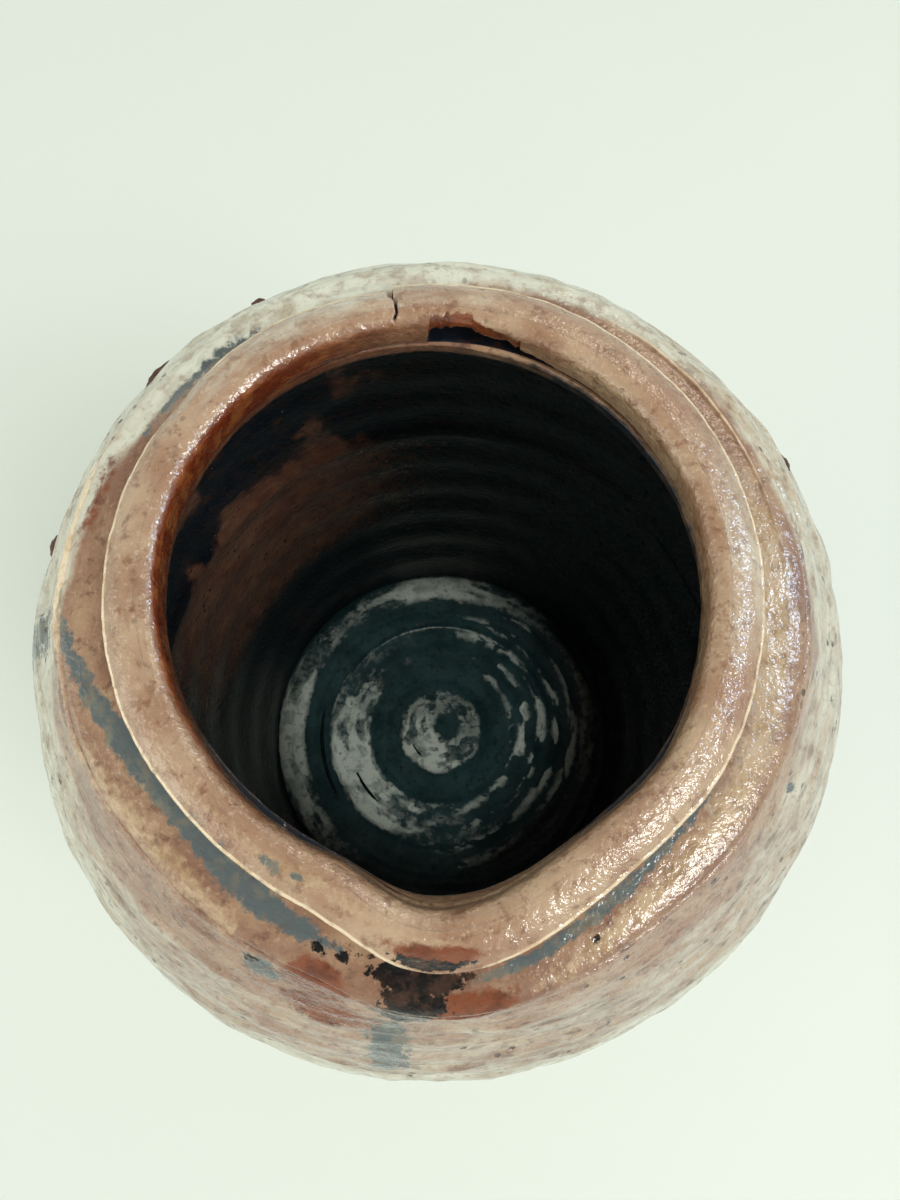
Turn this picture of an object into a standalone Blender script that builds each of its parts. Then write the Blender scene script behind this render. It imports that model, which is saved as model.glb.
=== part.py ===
"""Wide-mouthed stoneware sake bottle with a rolled rim and a pinched pouring lip.

The bottle is one fired clay body. It is modelled in the pieces of clay that the potter joined while they were wet:
a base slab, the body wall thrown up from it, the neck collar luted onto the shoulder, and the rolled rim that is
folded over the collar's top edge. Grains of kiln grit are fused to the shoulder. Units are metres, +Z is up, the
origin is the centre of the foot, and the pouring lip points along -Y.
"""

import bpy
from math import atan2, cos, exp, hypot, pi, radians, sin, sqrt
from mathutils import Euler, Matrix, Vector, noise

# ---- Driving dimensions ----
HEIGHT = 0.1480
BODY_RADIUS = 0.0595
BELLY_HEIGHT = 0.0900  # level of the widest place
FOOT_RADIUS = 0.0455
RIDGE_HEIGHT = 0.1402  # where the neck collar meets the shoulder
LEDGE_HEIGHT = 0.1445  # the rolled rim's sharp outer edge
LIP_RADIUS = 0.0350
THROAT_RADIUS = 0.0293
FLOOR_RADIUS = 0.0414
FLOOR_THICKNESS = 0.0080
WALL_THICKNESS = 0.0052
SPOUT_REACH = 0.0047
JOINT_GAP = 0.0003

# ---- Body ----
SHOULDER_SPAN = 0.0712  # vertical half-axis of the ellipse that the shoulder follows
BELLY_CURVE = 2.2  # power of the curve from the belly in to the foot
EDGE_DROP = 0.0026  # the wall's top edge slopes down inwards by this much, square to the wall
EDGE_LIFT = 0.00045  # height of the collar over that sloping edge, so that the gap square to it is JOINT_GAP
EDGE_INSET = 0.0006  # the collar's foot stays inside the ridge by this much
FOOT_FLANGE = 0.0040  # thickness of the slab's edge, on which the wall stands
FOOT_ROUNDING = 0.0020
FINGER_RINGS = 4.0  # waves from the floor's centre to its edge
FINGER_RING_HEIGHT = 0.0006

# ---- Neck collar and rim ----
NECK_RADIUS = 0.0336
NECK_ROOT = 0.1420
THROAT_ROUNDING = 0.0045
SEAM_HEIGHT = 0.1430  # where the fold of the rim ends on the neck
TONGUE_INNER = 0.0306
TONGUE_OUTER = 0.0326
TONGUE_HEIGHT = 0.0014
CREST_RADIUS = 0.0312  # circle on which the rim is highest
INNER_ROLL = 0.0022  # the rim turns over from its crest to its inner wall within this height

# ---- Pouring lip ----
SPOUT_DIP = 0.0010
SPOUT_FOOT = 0.1280  # the clay below this level is not pulled
SPOUT_ANGLE = radians(4.0)  # from -Y, positive towards +X
SPOUT_LEFT = radians(15.0)
SPOUT_RIGHT = radians(23.0)

# ---- Flaws: angle from -Y, and size along the rim, across it and in depth ----
CRACK_ANGLE = radians(189.5)
CRACK_SIZE = (0.0005, 0.0060, 0.0028)
VOID_ANGLE = radians(171.5)
VOID_HEIGHT = 0.1446
VOID_SIZE = (0.0108, 0.0032, 0.0030)

# ---- Kiln grit: angle from -Y, height, and size along the wall, up the wall and off it ----
GRAINS = {
    "kiln_grit_1": (radians(-130.0), 0.1320, (0.0056, 0.0024, 0.0014)),
    "kiln_grit_2": (radians(-149.0), 0.1345, (0.0020, 0.0018, 0.0012)),
    "kiln_grit_3": (radians(-100.0), 0.1270, (0.0024, 0.0014, 0.0010)),
    "kiln_grit_4": (radians(115.0), 0.1295, (0.0024, 0.0012, 0.0009)),
}

GRAIN_LUMPS = 0.25  # height of a grain's lumps, as a share of its radius
GRAIN_LUMPS_ACROSS = 3.0
GRAIN_CLEARANCE = 0.62  # half of a grain's size off the wall, and its highest lump

BODY_SEGMENTS = 60
NECK_SEGMENTS = 72
SHARP_ANGLE = radians(35.0)
SLOPE_STEP = 0.001


def steps(start, end, count):
    """count + 1 evenly spaced values from start to end."""
    return [start + (end - start) * i / count for i in range(count + 1)]


def arc(centre, size, start, end, count):
    """Points on an elliptical arc in the (radius, height) plane; size is its radial and vertical half-axes."""
    return [
        (centre[0] + size[0] * cos(angle), centre[1] + size[1] * sin(angle))
        for angle in steps(radians(start), radians(end), count)
    ]


def body_radius(z):
    """Outer radius of the wall: an ellipse above the belly, and a power curve from the belly in to the foot."""
    if z >= BELLY_HEIGHT:
        return BODY_RADIUS * sqrt(1.0 - ((z - BELLY_HEIGHT) / SHOULDER_SPAN) ** 2)
    drop = (BELLY_HEIGHT - z) / BELLY_HEIGHT
    return BODY_RADIUS - (BODY_RADIUS - FOOT_RADIUS) * drop**BELLY_CURVE


def inner_radius(z):
    """Inner radius of the wall, which thickens evenly towards the floor."""
    extra_at_floor = body_radius(FLOOR_THICKNESS) - FLOOR_RADIUS - WALL_THICKNESS
    share = (RIDGE_HEIGHT - z) / (RIDGE_HEIGHT - FLOOR_THICKNESS)
    return body_radius(z) - WALL_THICKNESS - extra_at_floor * share


def spout_pull(angle):
    """Share of the spout's reach at an angle from -Y: a bell curve that is steeper on its left flank."""
    turn = (angle - SPOUT_ANGLE + pi) % (2.0 * pi) - pi
    width = SPOUT_RIGHT if turn > 0.0 else SPOUT_LEFT
    return exp(-((turn / width) ** 2))


def pinched(point):
    """The point after the potter pulls the lip outwards; the pull dies away down the neck and shoulder."""
    radius = hypot(point.x, point.y)
    rise = (point.z - SPOUT_FOOT) / (LEDGE_HEIGHT - SPOUT_FOOT)
    pull = spout_pull(atan2(point.x, -point.y)) * min(max(rise, 0.0), 1.0) ** 2
    scale = (radius + SPOUT_REACH * pull) / radius
    return Vector((point.x * scale, point.y * scale, point.z - SPOUT_DIP * pull))


def clay(name, colour, roughness):
    """A non-metallic Principled material; colour is linear RGB."""
    made = bpy.data.materials.new(name)
    made.use_nodes = True
    made.diffuse_color = (*colour, 1.0)
    shader = made.node_tree.nodes["Principled BSDF"]
    shader.inputs["Base Color"].default_value = (*colour, 1.0)
    shader.inputs["Roughness"].default_value = roughness
    shader.inputs["Metallic"].default_value = 0.0
    return made


def new_object(name, mesh, collection, finish=None):
    """An object made from a mesh, in a collection and with its material."""
    made = bpy.data.objects.new(name, mesh)
    collection.objects.link(made)
    if finish:
        mesh.materials.append(finish)
    return made


def turned(name, outline, segments, collection, finish, closed=True):
    """A turned solid: an outline of (radius, height) points, down its outer side first, in a Screw modifier."""
    edges = [(i, i + 1) for i in range(len(outline) - 1)]
    if closed:
        edges.append((len(outline) - 1, 0))
    mesh = bpy.data.meshes.new(name)
    mesh.from_pydata([(radius, 0.0, height) for radius, height in outline], edges, [])
    made = new_object(name, mesh, collection, finish)
    screw = made.modifiers.new("turn", "SCREW")
    screw.axis = "Z"
    screw.angle = 2.0 * pi
    screw.steps = segments
    screw.render_steps = segments
    screw.use_merge_vertices = True
    screw.merge_threshold = 0.00001
    screw.use_smooth_shade = True
    return made


def pull_spout(made):
    """Apply the object's modifiers, and move its vertices as the pouring lip is pulled."""
    graph = bpy.context.evaluated_depsgraph_get()
    mesh = bpy.data.meshes.new_from_object(made.evaluated_get(graph))
    made.modifiers.clear()
    made.data = mesh
    for vertex in mesh.vertices:
        vertex.co = pinched(vertex.co)
    mesh.shade_smooth()
    mesh.set_sharp_from_angle(angle=SHARP_ANGLE)
    return made


def base_slab(collection, finish):
    """Disc of clay with finger rings on its top; its thin edge carries the wall."""
    edge = FLOOR_RADIUS - JOINT_GAP
    top = []
    for radius in steps(0.0, edge, 16):
        fade = 1.0 - radius / edge
        wave = cos(2.0 * pi * FINGER_RINGS * radius / edge)
        top.append((radius, FLOOR_THICKNESS + FINGER_RING_HEIGHT * fade * wave))
    corner = FOOT_RADIUS - FOOT_ROUNDING
    foot = arc((corner, FOOT_ROUNDING), (FOOT_ROUNDING, FOOT_ROUNDING), 0.0, -90.0, 3)
    outline = [*top, (edge, FOOT_FLANGE), (body_radius(FOOT_FLANGE), FOOT_FLANGE), *foot, (0.0, 0.0)]
    return turned("base_slab", outline, BODY_SEGMENTS, collection, finish, closed=False)


def body_wall(collection, finish):
    """The thrown wall, from the slab's edge up to the ridge on the shoulder."""
    foot = FOOT_FLANGE + JOINT_GAP
    outer = [(body_radius(z), z) for z in steps(RIDGE_HEIGHT, foot, 15)]
    inner = [(inner_radius(z), z) for z in steps(FLOOR_THICKNESS, RIDGE_HEIGHT - EDGE_DROP, 10)]
    outline = [*outer, (FLOOR_RADIUS, foot), *inner]
    return pull_spout(turned("body_wall", outline, BODY_SEGMENTS, collection, finish))


def neck_collar(collection, finish):
    """Collar from the shoulder's ridge in to the throat, with a tongue on top for the rolled rim."""
    tongue_top = SEAM_HEIGHT + TONGUE_HEIGHT
    shelf_size = (body_radius(RIDGE_HEIGHT) - EDGE_INSET - NECK_RADIUS, NECK_ROOT - RIDGE_HEIGHT)
    shelf = arc((NECK_RADIUS, RIDGE_HEIGHT + EDGE_LIFT), shelf_size, 80.0, 0.0, 5)
    wall_edge = RIDGE_HEIGHT - EDGE_DROP
    inner_foot = wall_edge + EDGE_LIFT
    throat_centre = (THROAT_RADIUS + THROAT_ROUNDING, inner_foot + THROAT_ROUNDING)
    throat = arc(throat_centre, (THROAT_ROUNDING, THROAT_ROUNDING), 270.0, 180.0, 4)
    outline = [
        (TONGUE_OUTER, tongue_top),
        (TONGUE_OUTER, SEAM_HEIGHT),
        (NECK_RADIUS, SEAM_HEIGHT),
        *shelf,
        (inner_radius(wall_edge), inner_foot),
        *throat,
        (THROAT_RADIUS, SEAM_HEIGHT),
        (TONGUE_INNER, SEAM_HEIGHT),
        (TONGUE_INNER, tongue_top),
    ]
    return pull_spout(turned("neck_collar", outline, NECK_SEGMENTS, collection, finish))


def rolled_rim(collection, finish):
    """The folded lip: a convex band from the crest out to the ledge, which saddles the collar's tongue."""
    foot = SEAM_HEIGHT + JOINT_GAP
    groove_top = SEAM_HEIGHT + TONGUE_HEIGHT + JOINT_GAP
    groove_outer = TONGUE_OUTER + JOINT_GAP
    groove_inner = TONGUE_INNER - JOINT_GAP
    band_size = (LIP_RADIUS - CREST_RADIUS, HEIGHT - LEDGE_HEIGHT)
    inside_size = (CREST_RADIUS - THROAT_RADIUS, INNER_ROLL)
    outline = [
        *arc((CREST_RADIUS, LEDGE_HEIGHT), band_size, 90.0, 0.0, 7),
        (NECK_RADIUS + JOINT_GAP, foot),
        (groove_outer, foot),
        (groove_outer, groove_top),
        (groove_inner, groove_top),
        (groove_inner, foot),
        (THROAT_RADIUS, foot),
        *arc((CREST_RADIUS, HEIGHT - INNER_ROLL), inside_size, 180.0, 90.0, 4)[:-1],
    ]
    return pull_spout(turned("rolled_rim", outline, NECK_SEGMENTS, collection, finish))


def placed(radius, angle, height):
    """Matrix that turns +Y outwards at an angle from -Y, and moves the origin to that radius and height."""
    turn = Euler((0.0, 0.0, angle + pi)).to_matrix().to_4x4()
    place = Vector((radius * sin(angle), -radius * cos(angle), height))
    return Matrix.Translation(place) @ turn


def cut_flaws(rim, cutters):
    """The drying crack across the rim, and the open pocket in its fold."""
    bpy.ops.mesh.primitive_cube_add(size=1.0)
    crack = bpy.context.object
    crack.name = "crack_cutter"
    crack.data.transform(Matrix.Diagonal((*CRACK_SIZE, 1.0)))
    crack.data.transform(placed(CREST_RADIUS + CRACK_SIZE[1] / 2.0, CRACK_ANGLE, HEIGHT - CRACK_SIZE[2] / 2.0))
    bpy.ops.mesh.primitive_uv_sphere_add(segments=16, ring_count=8, radius=0.5)
    pocket = bpy.context.object
    pocket.name = "pocket_cutter"
    pocket.data.transform(Matrix.Diagonal((*VOID_SIZE, 1.0)))
    pocket.data.transform(placed(THROAT_RADIUS, VOID_ANGLE, VOID_HEIGHT))
    for cutter in (crack, pocket):
        for collection in cutter.users_collection:
            collection.objects.unlink(cutter)
        cutters.objects.link(cutter)
        cutter.hide_render = True
        cutter.display_type = "WIRE"
        cut = rim.modifiers.new(cutter.name, "BOOLEAN")
        cut.operation = "DIFFERENCE"
        cut.solver = "EXACT"
        cut.object = cutter


def kiln_grit(name, angle, height, size, collection, finish):
    """A lumpy grain that lies against the shoulder, tilted with it."""
    bpy.ops.mesh.primitive_ico_sphere_add(subdivisions=2, radius=0.5)
    grain = bpy.context.object
    grain.name = name
    for vertex in grain.data.vertices:
        lump = noise.noise(vertex.co * GRAIN_LUMPS_ACROSS + Vector((angle, 0.0, 0.0)))
        vertex.co *= 1.0 + GRAIN_LUMPS * lump
    grain.data.transform(Matrix.Diagonal((size[0], size[2], size[1], 1.0)))
    rise = body_radius(height + SLOPE_STEP) - body_radius(height - SLOPE_STEP)
    lean = atan2(rise, 2.0 * SLOPE_STEP)
    tilt = Matrix.Rotation(-lean, 4, "X")
    outward = (JOINT_GAP + size[2] * GRAIN_CLEARANCE) / cos(lean)
    grain.data.transform(placed(body_radius(height) + outward, angle, height) @ tilt)
    grain.data.materials.append(finish)
    grain.data.shade_smooth()
    for other in grain.users_collection:
        other.objects.unlink(grain)
    collection.objects.link(grain)
    return grain


def main():
    for item in list(bpy.data.objects):
        bpy.data.objects.remove(item, do_unlink=True)
    bottle = bpy.data.collections.new("sake_bottle")
    cutters = bpy.data.collections.new("cutters")
    for collection in (bottle, cutters):
        bpy.context.scene.collection.children.link(collection)
    base_slab(bottle, clay("ash_glazed_clay", (0.060, 0.066, 0.050), 0.55))
    body_wall(bottle, clay("iron_brown_clay", (0.290, 0.130, 0.065), 0.32))
    neck_collar(bottle, clay("brown_slip_clay", (0.235, 0.100, 0.046), 0.28))
    rim = rolled_rim(bottle, clay("glossy_brown_clay", (0.330, 0.150, 0.072), 0.22))
    cut_flaws(rim, cutters)
    grit = clay("burnt_grit", (0.100, 0.035, 0.020), 0.60)
    for name, (angle, height, size) in GRAINS.items():
        kiln_grit(name, angle, height, size, bottle, grit)


main()
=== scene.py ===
"""Fired surfaces and studio stage for a stoneware sake bottle with a rolled rim and a pouring lip.

Every surface is turned: a profile of (radius, height) points is carried round the axis on a grid, pulled into
the pouring lip, and roughened along its own normals. Angles are measured from the lip, which points along -Y,
and grow towards +X. Everything is in metres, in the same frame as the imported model.
"""

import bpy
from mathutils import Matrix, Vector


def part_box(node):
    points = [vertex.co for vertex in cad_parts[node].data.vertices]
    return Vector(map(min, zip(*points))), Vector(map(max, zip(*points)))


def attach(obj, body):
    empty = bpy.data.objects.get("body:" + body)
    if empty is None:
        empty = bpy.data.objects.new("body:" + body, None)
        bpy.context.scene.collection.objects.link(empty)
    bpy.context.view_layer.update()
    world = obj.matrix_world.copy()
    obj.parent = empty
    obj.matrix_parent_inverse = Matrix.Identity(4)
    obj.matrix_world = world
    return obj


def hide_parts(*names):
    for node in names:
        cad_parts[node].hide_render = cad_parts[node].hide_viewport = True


bl_info = {
    "name": "Stoneware Sake Bottle",
    "version": (1, 0, 0),
    "blender": (4, 5, 0),
    "location": "View3D > Sidebar > Sake Bottle",
    "description": "Builds the fired surfaces of a stoneware sake bottle and a studio stage for it",
    "category": "Add Mesh",
}

from itertools import product
from math import cos, pi, radians, sin

import bpy
import numpy as np
from mathutils import Matrix, Vector

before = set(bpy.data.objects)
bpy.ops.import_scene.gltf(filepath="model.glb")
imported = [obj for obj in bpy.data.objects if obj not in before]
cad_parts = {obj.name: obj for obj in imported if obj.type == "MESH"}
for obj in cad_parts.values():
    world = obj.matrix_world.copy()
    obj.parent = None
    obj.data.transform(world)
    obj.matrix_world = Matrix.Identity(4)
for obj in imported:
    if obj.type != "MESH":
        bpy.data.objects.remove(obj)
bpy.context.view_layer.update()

MM = 0.001
WALL_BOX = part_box("body_wall")
RIM_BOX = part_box("rolled_rim")

# ---- Sizes that follow from the frame ----
BODY_RADIUS = WALL_BOX[1].x
RIDGE = WALL_BOX[1].z  # level where the neck collar meets the shoulder
TOP = RIM_BOX[1].z
LIP_RADIUS = RIM_BOX[1].y  # the far side of the rim is not pulled
FOOT_SEAM = WALL_BOX[0].z

# ---- Sizes of the thrown shape ----
BELLY = 90.0 * MM
SHOULDER_SPAN = 71.2 * MM
FOOT_RADIUS = 45.5 * MM
FOOT_ROUND = 2.0 * MM
BELLY_CURVE = 2.2
WALL = 5.2 * MM
FLOOR = 8.0 * MM
FLOOR_RADIUS = 41.4 * MM
NECK = 33.6 * MM
THROAT = 29.3 * MM
CREST = 31.2 * MM
SEAM = 143.0 * MM
LEDGE = 144.5 * MM
PULL_FOOT = 128.0 * MM  # the lip's pull dies away down to this level
BAND_END = 35.0  # degrees above level at which the rim's convex band stops in a sharp ledge
BAND_DROP = 3.7 * MM
SHARP_LEDGE = TOP - BAND_DROP * (1.0 - sin(radians(BAND_END)))

# ---- Places round the pot, in degrees ----
LIP_ANGLE = 4.0
CRACK_ANGLE = 189.5
WORN_ANGLE = -124.0  # the rim's ledge melts into the collar here


def linear(code):
    """Linear RGBA from an sRGB hex colour."""
    srgb = [int(code[i : i + 2], 16) / 255.0 for i in (0, 2, 4)]
    return [c / 12.92 if c <= 0.04045 else ((c + 0.055) / 1.055) ** 2.4 for c in srgb] + [1.0]


# ---------------------------------------------------------------- shape tools


# Large odd numbers that scatter the corners of a lattice into random-looking heights.
SCATTER = np.array([73856093, 19349663, 83492791])
SCATTER_AGAIN = 1274126177


def lattice_noise(points, cell, seed=0):
    """Random heights on a lattice of the given cell size, blended by a fifth-power step; from -1 to 1."""
    scaled = points / np.asarray(cell, float) + 31.7 * seed
    base = np.floor(scaled).astype(np.int64)
    part = scaled - base
    part = part**3 * (part * (6.0 * part - 15.0) + 10.0)
    total = np.zeros(points.shape[:-1])
    for corner in product((0, 1), repeat=3):
        key = (base + corner) * SCATTER
        mixed = key[..., 0] ^ key[..., 1] ^ key[..., 2]
        mixed = (mixed ^ (mixed >> 13)) * SCATTER_AGAIN & 0x7FFFFFFF
        mixed = (mixed ^ (mixed >> 16)) & 0xFFFF
        weight = np.prod(np.where(corner, part, 1.0 - part), axis=-1)
        total += weight * (mixed / 32767.5 - 1.0)
    return total


def fractal_noise(points, cell, octaves=3, seed=0):
    """A sum of lattice noises, each half the size and half the height of the one before."""
    cell = np.asarray(cell, float)
    return sum(0.5**i * lattice_noise(points, cell / 2.0**i, seed + i) for i in range(octaves))


def smooth(low, high, values):
    """0 below low, 1 above high, and a smoothstep between; the other way round when low is above high."""
    share = np.clip((values - low) / (high - low), 0.0, 1.0)
    return share * share * (3.0 - 2.0 * share)


def hump(values, centre, width):
    """Bell curve: 1 at the centre, 1/e at the width."""
    return np.exp(-(((values - centre) / width) ** 2))


def line_noise(values, cell, octaves, seed):
    """Fractal noise that changes with one value only."""
    still = np.zeros_like(values)
    return fractal_noise(np.stack([values, still, still], axis=-1), cell, octaves, seed)


def turn_from(angles, centre):
    """Signed angle in degrees from a centre, from -180 to 180."""
    return (np.degrees(angles) - centre + 180.0) % 360.0 - 180.0


def bump(angles, centre, width):
    """Bell curve round the pot, with its centre and width in degrees."""
    return hump(turn_from(angles, centre), 0.0, width)


def arc(centre, size, start, end, count):
    """Points on an elliptical arc in the (radius, height) plane."""
    turn = np.radians(np.linspace(start, end, count + 1))
    return np.stack([centre[0] + size[0] * np.cos(turn), centre[1] + size[1] * np.sin(turn)], axis=1)


def softened(loop, rounds, closed=True):
    """Corner cutting: each round puts two points for every corner, a quarter of the way along its edges."""
    points = np.asarray(loop, float)
    for _ in range(rounds):
        after = np.roll(points, -1, axis=0)
        near = 0.75 * points + 0.25 * after
        far = 0.25 * points + 0.75 * after
        cut = np.stack([near, far], axis=1).reshape(-1, 2)
        points = cut if closed else np.concatenate([points[:1], cut[:-2], points[-1:]])
    return points


def spaced(loop, count, closed=True, density=None):
    """Profile points evenly spaced along its length, or closer together where density(points) is larger."""
    points = np.concatenate([loop, loop[:1]]) if closed else np.asarray(loop, float)
    edges = np.linalg.norm(np.diff(points, axis=0), axis=1)
    middle = 0.5 * (points[:-1] + points[1:])
    weight = edges if density is None else edges * density(middle)
    along = np.concatenate([[0.0], np.cumsum(weight)])
    wanted = np.linspace(0.0, along[-1], count + 1)
    wanted = wanted[:-1] if closed else wanted
    return np.stack([np.interp(wanted, along, points[:, k]) for k in (0, 1)], axis=1)


def outward(profile, closed=True):
    """Unit normals of a profile that runs down its outer side."""
    if closed:
        tangent = np.roll(profile, -1, axis=0) - np.roll(profile, 1, axis=0)
    else:
        tangent = np.gradient(profile, axis=0)
    normal = np.stack([-tangent[:, 1], tangent[:, 0]], axis=1)
    return normal / np.linalg.norm(normal, axis=1, keepdims=True)


def around(count, dense_at=None, dense_width=20.0, dense_gain=0.0):
    """Angles round the pot, closer together near one angle."""
    fine = np.linspace(0.0, 2.0 * pi, 3601)
    weight = 1.0 + (dense_gain * bump(fine, dense_at, dense_width) if dense_gain else 0.0 * fine)
    along = np.concatenate([[0.0], np.cumsum(0.5 * (weight[1:] + weight[:-1]))])
    return np.interp(np.linspace(0.0, along[-1], count, endpoint=False), along, fine)


class Turning:
    """A profile carried round the axis: each grid has a row for each point and a column for each angle."""

    def __init__(self, profile, angles, closed=True):
        normal = outward(profile, closed)
        grid = np.ones((len(profile), len(angles)))
        self.closed = closed
        self.angle = angles[None, :] * grid
        self.radius = profile[:, :1] * grid
        self.height = profile[:, 1:] * grid
        self.normal_out = normal[:, :1] * grid
        self.normal_up = normal[:, 1:] * grid
        steps = np.linalg.norm(np.diff(profile, axis=0), axis=1)
        self.along = np.concatenate([[0.0], np.cumsum(steps)])[:, None] * grid

    def points(self):
        """x = r sin(a), y = -r cos(a), z = height."""
        x = self.radius * np.sin(self.angle)
        y = -self.radius * np.cos(self.angle)
        return np.stack([x, y, self.height], axis=-1)

    def swell(self, amount):
        """Move the surface along its normals."""
        self.radius = self.radius + amount * self.normal_out
        self.height = self.height + amount * self.normal_up

    def streak_space(self):
        """Place for noise that follows the surface: x, y, and the distance along the profile."""
        points = self.points()
        return np.stack([points[..., 0], points[..., 1], self.along], axis=-1)


def lip_share(angles):
    """How far the lip is pulled at each angle: a bell with a steep left flank and a long right one."""
    turn = turn_from(angles, LIP_ANGLE)
    left = np.exp(-(np.abs(turn / 15.0) ** 2.6))
    right = np.exp(-((turn / 22.0) ** 2))
    return np.where(turn > 0.0, right, left)


def pull_lip(turning, reach):
    """Pull the lip out. The pull grows with the square of the height above its foot, and dips the tip."""
    rise = np.clip((turning.height - PULL_FOOT) / (LEDGE - PULL_FOOT), 0.0, 1.0) ** 2
    angle = turning.angle
    left = 0.7 * bump(angle, -16.0, 13.0) - 0.2 * bump(angle, -48.0, 10.0)
    right = 0.65 * bump(angle, 52.0, 17.0)
    turning.radius = turning.radius + rise * (reach * lip_share(angle) + MM * (left + right))
    turning.height = turning.height - rise * 1.0 * MM * lip_share(angle)


def handmade(turning):
    """Slow unevenness that every piece shares: the body sits a little to the right, and the rim rolls."""
    low = 1.0 - smooth(120.0 * MM, RIDGE, turning.height)
    angles = turning.angle
    oval = 0.25 * MM * np.cos(2.0 * angles + 0.7) + 0.12 * MM * np.cos(3.0 * angles + 2.0)
    shift = 0.40 * MM * np.sin(angles) - 0.10 * MM * np.cos(angles)
    rooted = smooth(0.0, 20.0 * MM, turning.height)
    turning.radius = turning.radius + low * rooted * (oval + shift)
    high = smooth(125.0 * MM, RIDGE, turning.height)
    turning.height = turning.height + high * 0.15 * MM * np.cos(2.0 * angles - 0.6)


# ---------------------------------------------------------------- meshes


def fill_mesh(name, vertices, faces, marks, turned, finish):
    """A smooth-shaded mesh object with its per-vertex marks, and its place along the turned surface."""
    mesh = bpy.data.meshes.new(name)
    mesh.from_pydata(vertices.tolist(), [], faces)
    for key, values in marks.items():
        layer = mesh.attributes.new(key, "FLOAT", "POINT")
        layer.data.foreach_set("value", np.asarray(values, np.float32).ravel())
    layer = mesh.attributes.new("turned", "FLOAT_VECTOR", "POINT")
    layer.data.foreach_set("vector", np.asarray(turned, np.float32).ravel())
    mesh.materials.append(finish)
    mesh.shade_smooth()
    mesh.update()
    made = bpy.data.objects.new(name, mesh)
    bpy.context.scene.collection.objects.link(made)
    return made


def skin(name, turning, marks, finish):
    """Quads between grid neighbours. A closed profile wraps round, and an open one is closed by two poles."""
    rows, columns = turning.radius.shape
    index = np.arange(rows * columns).reshape(rows, columns)
    beside = np.roll(index, -1, axis=1)
    below = np.roll(index, -1, axis=0)
    below_beside = np.roll(beside, -1, axis=0)
    quads = np.stack([index, below, below_beside, beside], axis=-1)
    vertices = turning.points().reshape(-1, 3)
    turned = turning.streak_space().reshape(-1, 3)
    marks = {key: np.asarray(values).ravel() for key, values in marks.items()}
    if turning.closed:
        return fill_mesh(name, vertices, quads.reshape(-1, 4).tolist(), marks, turned, finish)
    faces = quads[:-1].reshape(-1, 4).tolist()
    first, last = rows * columns, rows * columns + 1
    caps = [(first, index[0], beside[0]), (last, beside[-1], index[-1])]
    for pole, one, other in caps:
        faces += np.stack([np.full(columns, pole), one, other], axis=-1).tolist()
    vertices, turned, *levels = [
        np.concatenate([values, [values[:columns].mean(axis=0)], [values[-columns:].mean(axis=0)]])
        for values in (vertices, turned, *marks.values())
    ]
    return fill_mesh(name, vertices, faces, dict(zip(marks, levels)), turned, finish)


def settle(piece, nodes):
    """Fix a finished piece to the pot's one body, in place of its CAD nodes."""
    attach(piece, "root")
    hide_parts(*nodes)
    return piece


# ---------------------------------------------------------------- profiles


def wall_radius(height):
    """Outer radius: an ellipse above the belly, and a power curve from the belly in to the foot."""
    rise = np.clip((height - BELLY) / SHOULDER_SPAN, 0.0, 1.0)
    drop = np.clip((BELLY - height) / BELLY, 0.0, 1.0)
    lower = BODY_RADIUS - (BODY_RADIUS - FOOT_RADIUS) * drop**BELLY_CURVE
    return np.where(height >= BELLY, BODY_RADIUS * np.sqrt(1.0 - rise**2), lower)


def inside_radius(height):
    """Inner radius: the wall thickens evenly towards the floor."""
    extra = wall_radius(FLOOR) - FLOOR_RADIUS - WALL
    return wall_radius(height) - WALL - extra * (RIDGE - height) / (RIDGE - FLOOR)


def wall_profile():
    """Closed section of the body wall, with a bead at the ridge. Its top and foot enter its neighbours."""
    bead = wall_radius(RIDGE)
    outer = np.linspace(RIDGE - 1.2 * MM, FOOT_SEAM - 0.3 * MM, 60)
    inner = np.linspace(FLOOR - 0.8 * MM, RIDGE - 2.4 * MM, 50)
    return np.concatenate(
        [
            [(bead - 1.2 * MM, RIDGE - 0.15 * MM), (bead - 0.5 * MM, RIDGE + 0.30 * MM)],
            [(bead + 0.25 * MM, RIDGE)],
            np.stack([wall_radius(outer), outer], axis=1),
            [(FLOOR_RADIUS - 0.4 * MM, FOOT_SEAM - 0.3 * MM)],
            np.stack([inside_radius(inner), inner], axis=1),
            [(bead - 2.6 * MM, RIDGE - 2.2 * MM)],
        ]
    )


def collar_profile():
    """Closed section of the neck collar: neck, domed shelf, edge sunk in the wall, throat and flat top."""
    bead = wall_radius(RIDGE)
    shelf = arc((NECK, RIDGE + 0.35 * MM), (bead - NECK - 0.3 * MM, 1.9 * MM), 82.0, 4.0, 16)
    bottom = RIDGE - 2.15 * MM
    turn = 4.5 * MM
    throat = arc((THROAT + turn, bottom + turn), (turn, turn), 270.0, 180.0, 14)
    return np.concatenate(
        [
            [(NECK - 0.2 * MM, SEAM + 1.0 * MM), (NECK, SEAM + 0.2 * MM)],
            shelf,
            [(bead - 0.8 * MM, RIDGE - 0.9 * MM), (inside_radius(bottom) + 1.4 * MM, bottom + 0.5 * MM)],
            [(inside_radius(bottom) - 1.0 * MM, bottom)],
            throat,
            [(THROAT - 0.1 * MM, SEAM - 0.1 * MM), (THROAT + 0.3 * MM, SEAM + 0.05 * MM)],
            [(THROAT + 3.0 * MM, SEAM + 0.1 * MM)],
        ]
    )


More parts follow.
